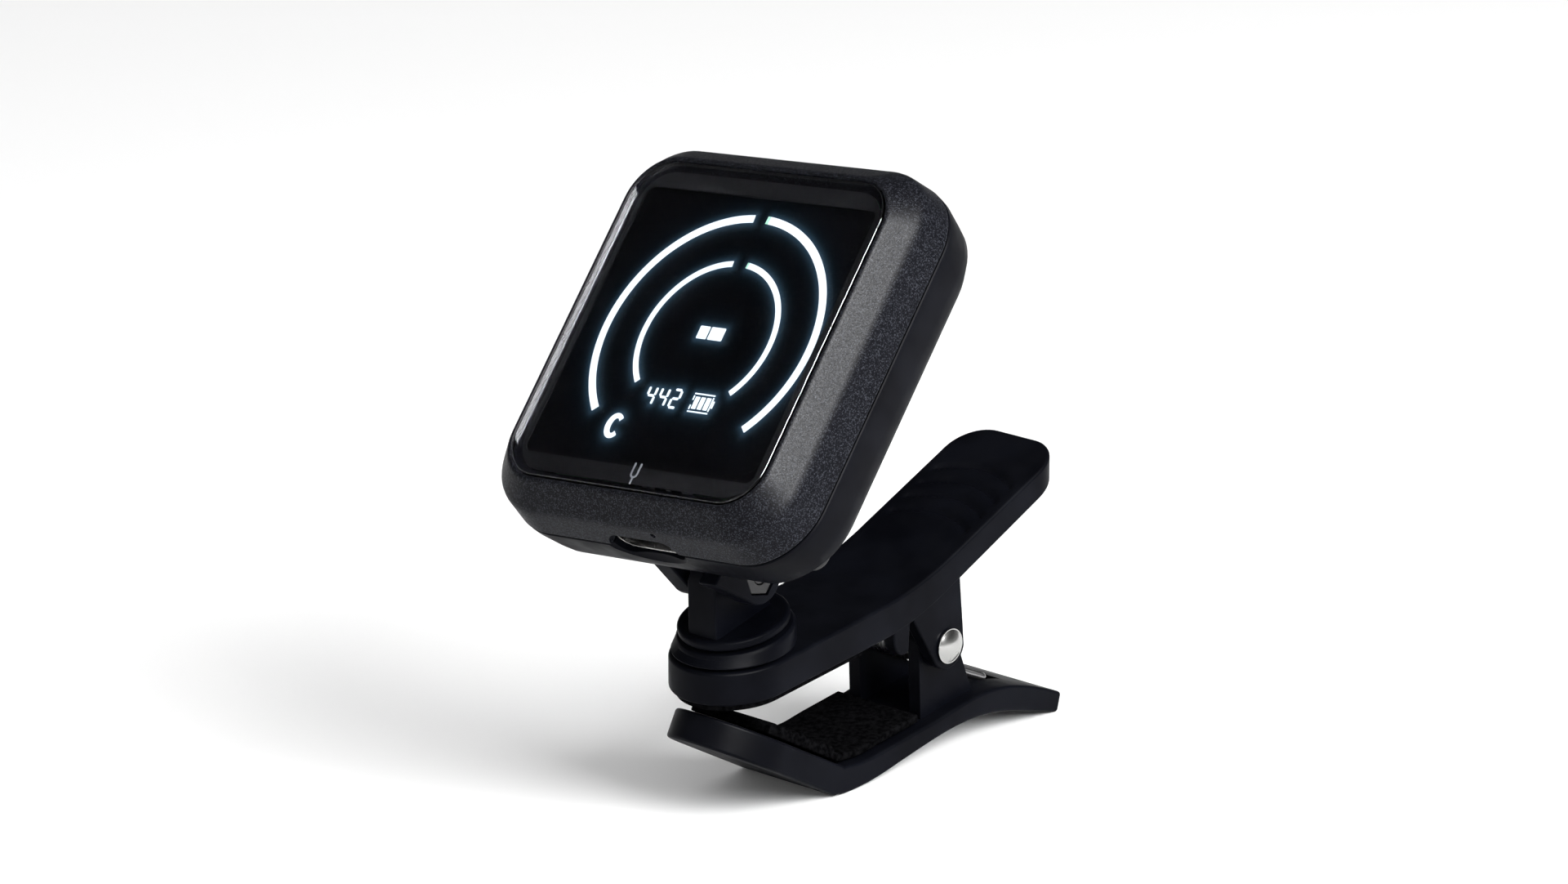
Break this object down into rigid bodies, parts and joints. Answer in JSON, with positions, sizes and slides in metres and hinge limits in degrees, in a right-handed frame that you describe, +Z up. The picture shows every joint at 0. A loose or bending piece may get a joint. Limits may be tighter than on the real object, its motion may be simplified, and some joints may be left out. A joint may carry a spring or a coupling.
{
  "type": "clip-on tuner",
  "caption": "Clip-on instrument tuner: a rounded-square display head that tilts and swivels on a sprung clamp with rubber-lined jaws.",
  "frame": {"origin": "bottom centre of the bounding box, on the table the clamp stands on", "axes": "+Z up, -Y the way the display faces, +Y towards the thumb tails, +X the viewer's right"},
  "size_m": [0.0448, 0.0626, 0.0688],
  "materials": {
    "painted_lever": "satin black paint with a faint blue cast",
    "cast_lever": "satin black lacquer on a light casting",
    "satin_plastic": "satin, fine moulded grain",
    "sparkle_plastic": "satin black with fine metallic sparkle",
    "jaw_rubber": "matt, granular",
    "button_rubber": "matt, soft",
    "polished_steel": "polished",
    "spring_steel": "drawn wire",
    "dark_steel": "black oxide",
    "nylon": "black, smooth",
    "smoked_lens": "polished, smoked",
    "display_black": "smooth",
    "light_guide": "clear, diffusing",
    "board": "solder mask",
    "chip_black": "moulded",
    "cell_foil": "soft foil pouch",
    "foam": "open-cell foam",
    "sensor_brass": "bright"
  },
  "bodies": {
    "clamp_base": {"lower_lever": "painted_lever", "lower_jaw_pad": "jaw_rubber", "pivot_pin": "polished_steel", "pivot_sleeve": "nylon", "torsion_spring": "spring_steel"},
    "clamp_top": {"upper_lever": "cast_lever", "upper_jaw_pad": "jaw_rubber", "swivel_collar": "satin_plastic"},
    "neck": {"swivel_post": "satin_plastic", "swivel_screw": "dark_steel", "swivel_washer": "nylon"},
    "head": {"front_bezel": "sparkle_plastic", "cover_lens": "smoked_lens", "lcd_panel": "display_black", "backlight_plate": "light_guide", "circuit_board": "board", "main_chip": "chip_black", "battery_cell": "cell_foil", "battery_pad": "foam", "piezo_sensor": "sensor_brass", "usb_c_shell": "polished_steel", "usb_c_tongue": "chip_black", "microphone": "polished_steel", "rear_shell": "satin_plastic", "case_screw_1": "dark_steel", "case_screw_2": "dark_steel", "case_screw_3": "dark_steel", "case_screw_4": "dark_steel", "up_switch": "chip_black", "power_switch": "chip_black", "down_switch": "chip_black", "hinge_screw": "dark_steel", "hinge_nut": "dark_steel", "hinge_washer_right": "nylon", "hinge_washer_left": "nylon"},
    "up_key": {"up_button": "button_rubber"},
    "power_key": {"power_button": "button_rubber"},
    "down_key": {"down_button": "button_rubber"}
  },
  "joints": [
    {"name": "clip_open", "type": "hinge", "parent": "clamp_base", "child": "clamp_top", "pos_m": [0.00205, 0.01193, 0.0125], "axis": [-1, 0, 0], "range_deg": [0, 30], "stiffness_Nm_per_rad": 0.25, "springref_deg": -34.38, "deforming": ["torsion_spring"]},
    {"name": "neck_swivel", "type": "hinge", "parent": "clamp_top", "child": "neck", "pos_m": [0.00205, -0.01487, 0.02033], "axis": [0, -0.2351, 0.972], "range_deg": [-170, 170]},
    {"name": "head_tilt", "type": "hinge", "parent": "neck", "child": "head", "pos_m": [0.00205, -0.0164, 0.02665], "axis": [0.9956, 0, 0.0941], "range_deg": [-34, 40]},
    {"name": "up_press", "type": "slide", "parent": "head", "child": "up_key", "axis": [-0.0635, -0.7385, 0.6713], "range_m": [0, 0.0006], "stiffness_N_per_m": 1200, "springref_m": -0.0005},
    {"name": "power_press", "type": "slide", "parent": "head", "child": "power_key", "axis": [-0.0635, -0.7385, 0.6713], "range_m": [0, 0.0006], "stiffness_N_per_m": 1200, "springref_m": -0.0005},
    {"name": "down_press", "type": "slide", "parent": "head", "child": "down_key", "axis": [-0.0635, -0.7385, 0.6713], "range_m": [0, 0.0006], "stiffness_N_per_m": 1200, "springref_m": -0.0005}
  ]
}
